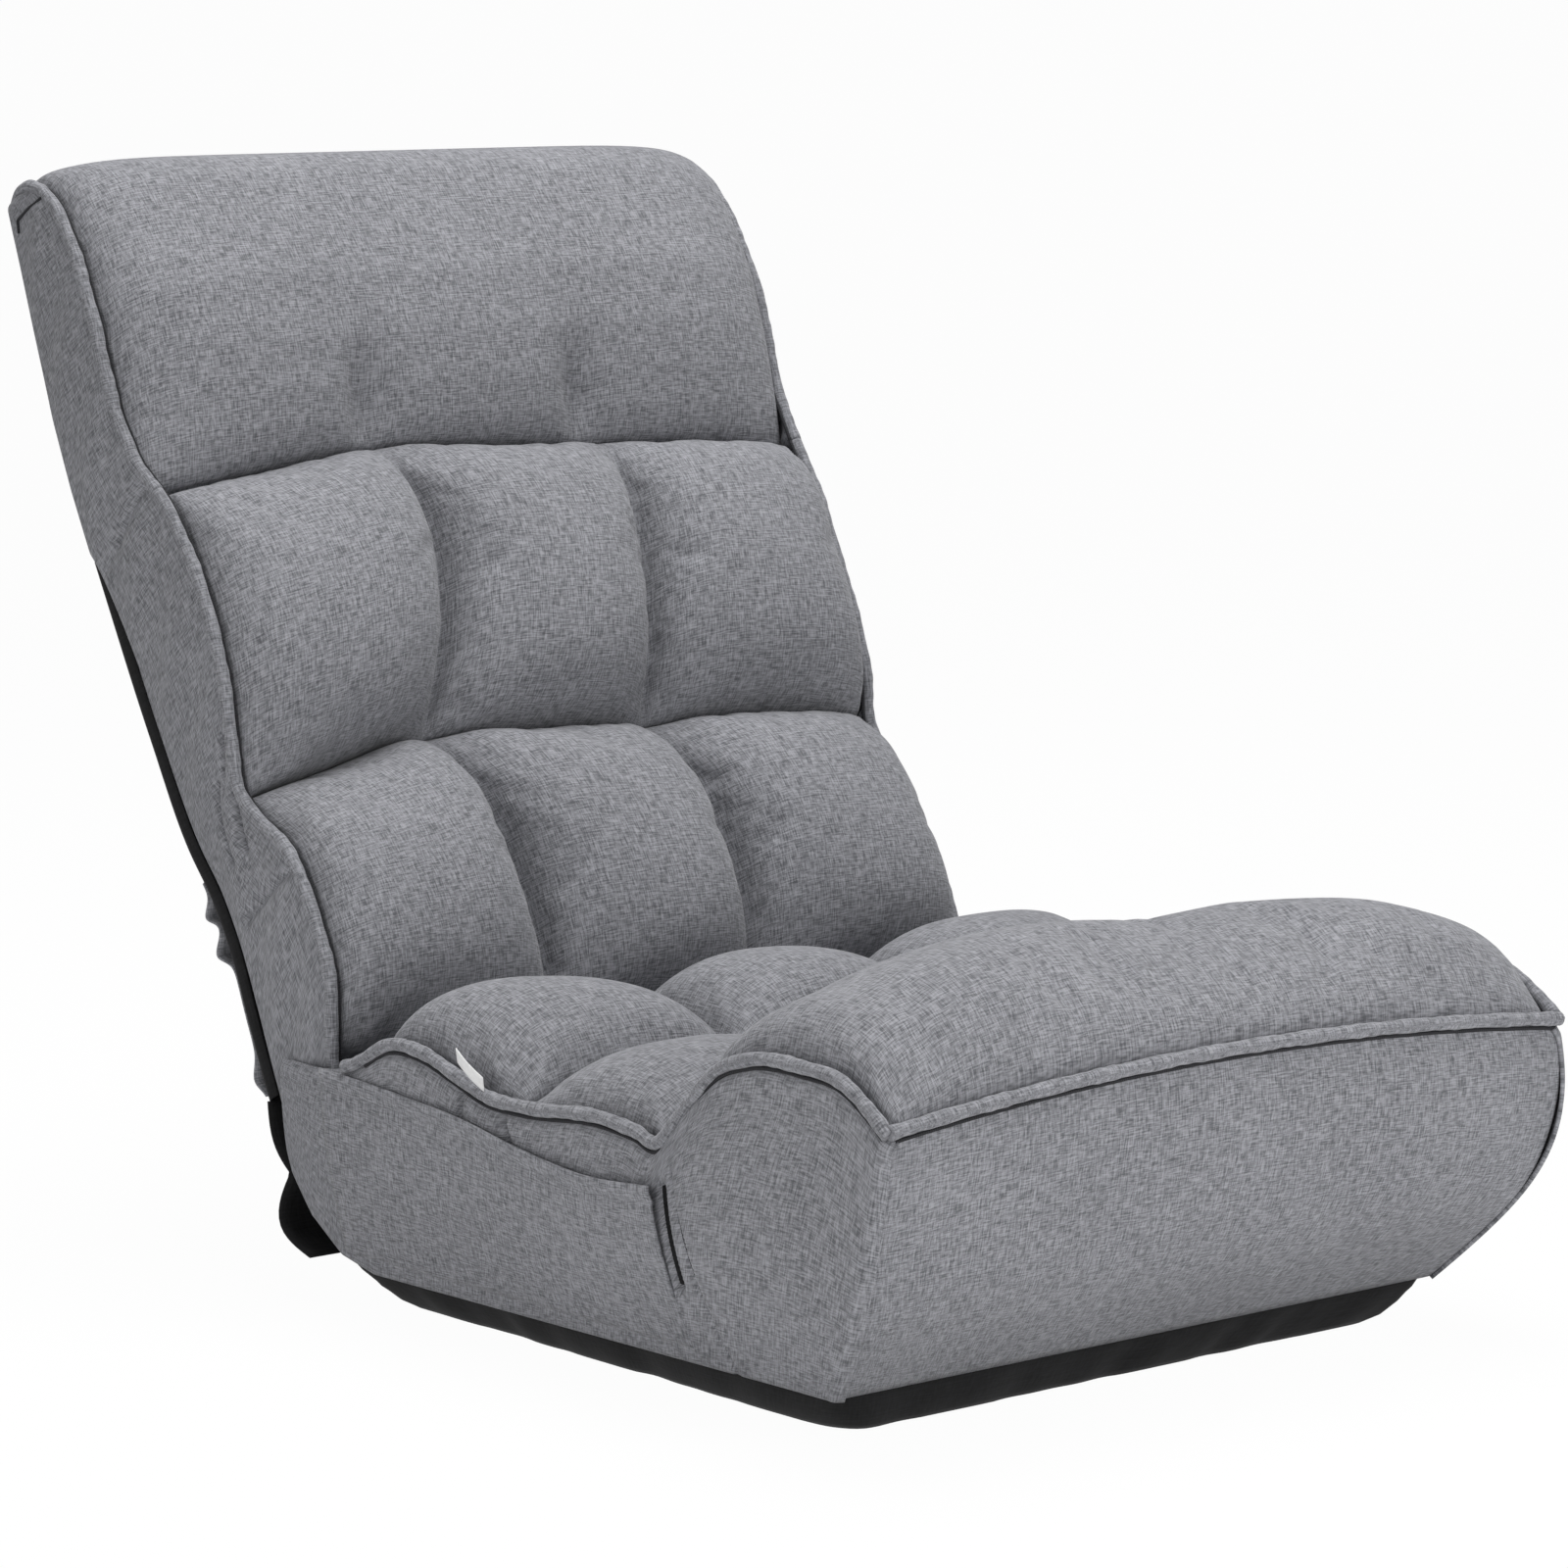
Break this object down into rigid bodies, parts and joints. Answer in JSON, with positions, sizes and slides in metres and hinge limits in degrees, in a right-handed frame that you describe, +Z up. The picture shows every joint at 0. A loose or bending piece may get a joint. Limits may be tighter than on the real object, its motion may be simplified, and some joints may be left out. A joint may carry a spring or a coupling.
{
  "type": "floor gaming chair",
  "caption": "Legless padded floor chair: tufted seat with a front bolster and side pockets, a reclining tufted back and a tilting headrest on ratchet hinges.",
  "frame": {"origin": "on the floor, under the middle of the flat base", "axes": "+Z up; the sitter faces -Y; +X is the sitter's left"},
  "size_m": [0.6646, 1.0362, 0.8362],
  "materials": {
    "grey_cloth": "matte",
    "black_cloth": "matte",
    "white_tape": "matte",
    "strap": "matte",
    "foam": "matte",
    "tube": "satin",
    "zinc_steel": "satin"
  },
  "bodies": {
    "seat": {"bottom_cloth": "black_cloth", "seat_frame": "tube", "seat_webbing": "strap", "seat_foam": "foam", "seat_rear_pad": "grey_cloth", "seat_front_pad": "grey_cloth", "front_bolster_pad": "grey_cloth", "front_panel": "grey_cloth", "seat_side_panel_left": "grey_cloth", "seat_side_panel_right": "grey_cloth", "side_pocket_left": "grey_cloth", "side_pocket_right": "grey_cloth", "seat_piping": "grey_cloth", "sewn_tab": "white_tape", "crease_cloth": "grey_cloth", "rear_gusset": "grey_cloth", "recline_seat_arm_left": "zinc_steel", "recline_seat_arm_right": "zinc_steel", "recline_cover_left": "zinc_steel", "recline_cover_right": "zinc_steel", "recline_pivot_rivets": "zinc_steel", "recline_pawls": "zinc_steel", "recline_pawl_springs": "zinc_steel", "recline_pawl_rivets": "zinc_steel"},
    "backrest": {"back_frame": "tube", "back_foam": "foam", "back_lower_pad": "grey_cloth", "back_upper_pad": "grey_cloth", "back_rear_cover": "black_cloth", "back_side_panel_left": "grey_cloth", "back_side_panel_right": "grey_cloth", "back_piping": "grey_cloth", "recline_back_arm_left": "zinc_steel", "recline_back_arm_right": "zinc_steel", "headrest_crease_cloth": "grey_cloth", "headrest_rear_cloth": "black_cloth", "headrest_back_arm_left": "zinc_steel", "headrest_back_arm_right": "zinc_steel", "headrest_cover_left": "zinc_steel", "headrest_cover_right": "zinc_steel", "headrest_pivot_rivets": "zinc_steel", "headrest_pawls": "zinc_steel", "headrest_pawl_springs": "zinc_steel", "headrest_pawl_rivets": "zinc_steel"},
    "headrest": {"head_frame": "tube", "head_foam": "foam", "head_pad": "grey_cloth", "head_rear_cover": "black_cloth", "head_side_panel_left": "grey_cloth", "head_side_panel_right": "grey_cloth", "head_piping": "grey_cloth", "headrest_arm_left": "zinc_steel", "headrest_arm_right": "zinc_steel"}
  },
  "joints": [
    {"name": "recline", "type": "hinge", "parent": "seat", "child": "backrest", "pos_m": [0, 0.275, 0.12], "axis": [-1, 0, 0], "range_deg": [-30, 60], "deforming": ["crease_cloth", "rear_gusset"]},
    {"name": "headrest_tilt", "type": "hinge", "parent": "backrest", "child": "headrest", "pos_m": [0, 0.54, 0.57899], "axis": [1, 0, 0], "range_deg": [-10, 30], "deforming": ["headrest_crease_cloth", "headrest_rear_cloth"]}
  ]
}
